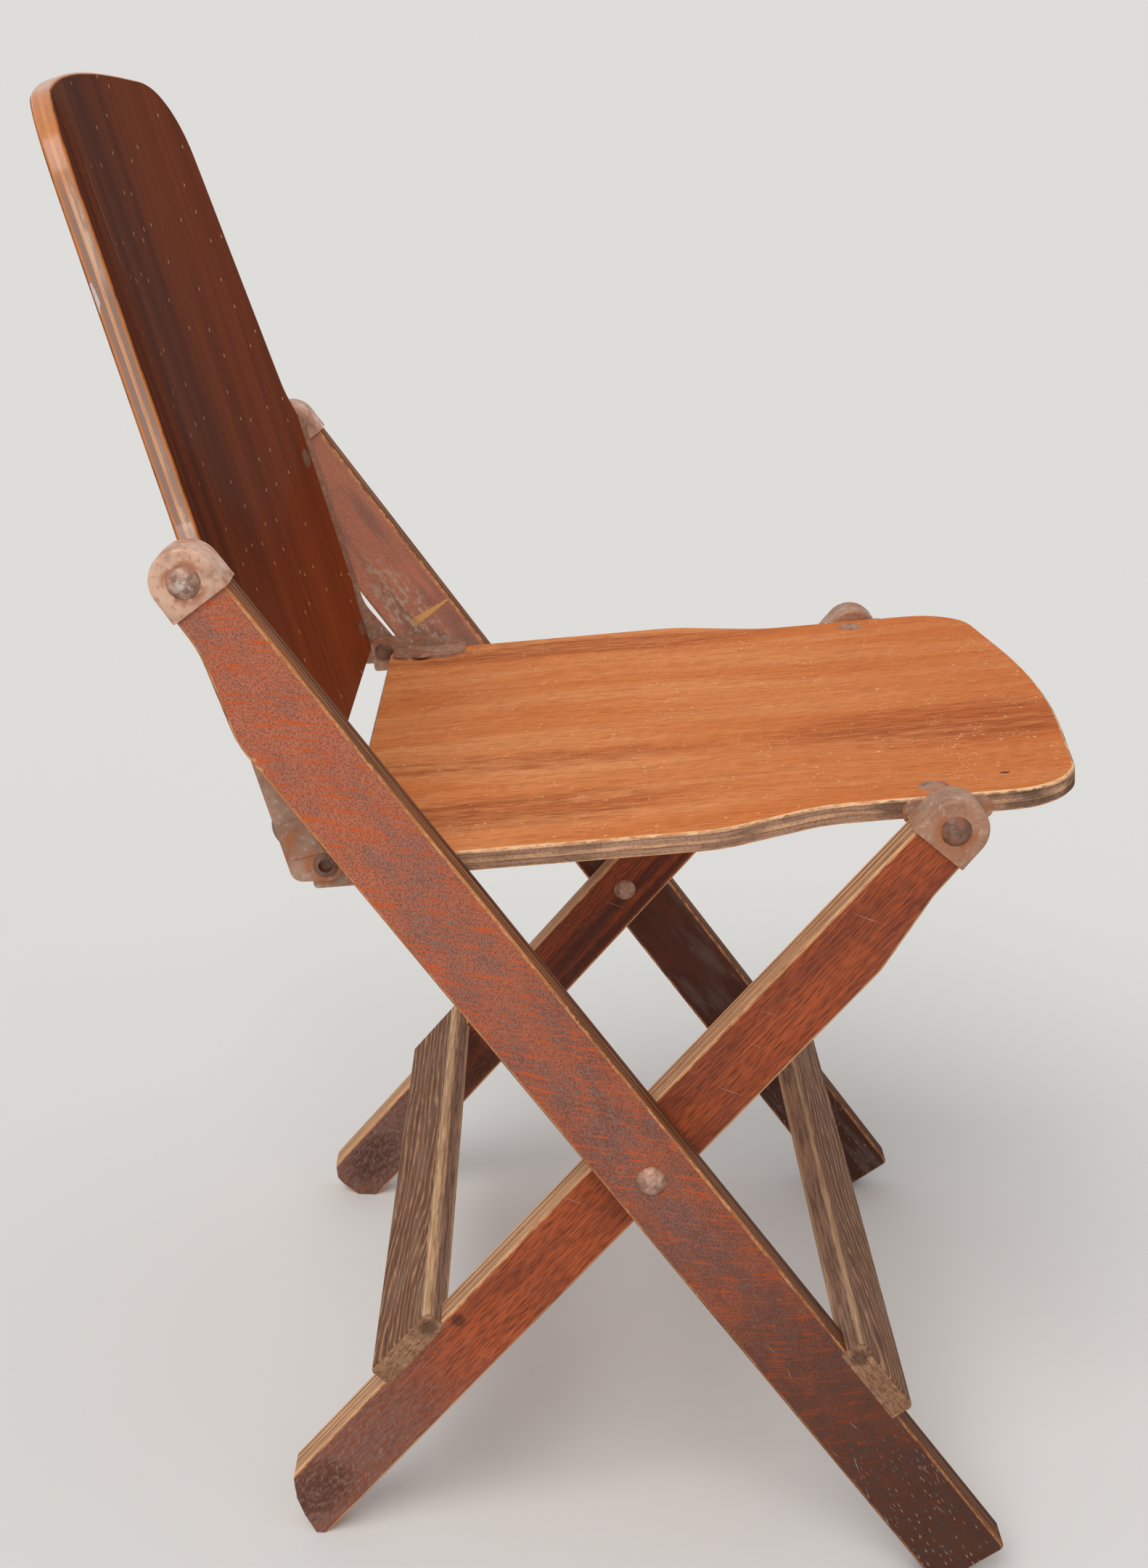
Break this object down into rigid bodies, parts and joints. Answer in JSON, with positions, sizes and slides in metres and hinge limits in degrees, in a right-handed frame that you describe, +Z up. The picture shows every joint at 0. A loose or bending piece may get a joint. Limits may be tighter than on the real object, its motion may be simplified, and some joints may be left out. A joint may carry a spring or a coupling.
{
  "type": "wooden folding chair",
  "caption": "Folding side chair with crossed laminated legs, a flat plywood seat and a bowed plywood back, hinged on pressed steel brackets and rivets.",
  "frame": {"origin": "on the floor, under the middle of the open chair's box", "axes": "+Z up, the sitter faces -Y, and the sitter's left is +X"},
  "size_m": [0.455, 0.56, 0.7925],
  "materials": {
    "leg_wood": "worn satin varnish",
    "stretcher_wood": "weathered, bare",
    "dowel_wood": "bare",
    "seat_plywood": "satin varnish",
    "back_plywood": "satin varnish",
    "fitting_steel": "worn paint with rust at the edges",
    "rivet_steel": "worn, dark"
  },
  "bodies": {
    "long_leg_frame": {"right_long_leg": "leg_wood", "left_long_leg": "leg_wood", "right_long_leg_cap": "fitting_steel", "left_long_leg_cap": "fitting_steel", "right_back_pivot_rivet": "rivet_steel", "left_back_pivot_rivet": "rivet_steel", "right_cross_rivet": "rivet_steel", "left_cross_rivet": "rivet_steel", "right_cross_spacer": "rivet_steel", "left_cross_spacer": "rivet_steel", "front_stretcher": "stretcher_wood", "front_stretcher_dowels": "dowel_wood"},
    "short_leg_frame": {"right_short_leg": "leg_wood", "left_short_leg": "leg_wood", "right_short_leg_cap": "fitting_steel", "left_short_leg_cap": "fitting_steel", "right_seat_pivot_rivet": "rivet_steel", "left_seat_pivot_rivet": "rivet_steel", "rear_stretcher": "stretcher_wood", "rear_stretcher_dowels": "dowel_wood"},
    "seat": {"seat_panel": "seat_plywood", "right_seat_front_bracket": "fitting_steel", "left_seat_front_bracket": "fitting_steel", "right_seat_hinge_bracket": "fitting_steel", "left_seat_hinge_bracket": "fitting_steel", "right_hinge_rivet": "rivet_steel", "left_hinge_rivet": "rivet_steel", "seat_front_bracket_rivets": "rivet_steel", "seat_hinge_bracket_rivets": "rivet_steel"},
    "back": {"back_panel": "back_plywood", "right_back_bracket": "fitting_steel", "left_back_bracket": "fitting_steel", "back_bracket_rivets": "rivet_steel"}
  },
  "joints": [
    {"name": "fold", "type": "hinge", "parent": "long_leg_frame", "child": "short_leg_frame", "pos_m": [0, -0.05035, 0.2519], "axis": [-1, 0, 0], "range_deg": [0, 70]},
    {"name": "seat_pivot", "type": "hinge", "parent": "short_leg_frame", "child": "seat", "pos_m": [0, -0.19612, 0.44255], "axis": [1, 0, 0], "range_deg": [0, 116.35]},
    {"name": "back_hinge", "type": "hinge", "parent": "seat", "child": "back", "pos_m": [0, 0.12139, 0.4163], "axis": [1, 0, 0], "range_deg": [0, 102.92]}
  ],
  "couplings": [
    {"joint": "seat_pivot", "follows": "fold", "ratio": 1.6622},
    {"joint": "back_hinge", "follows": "fold", "ratio": 1.4702}
  ]
}
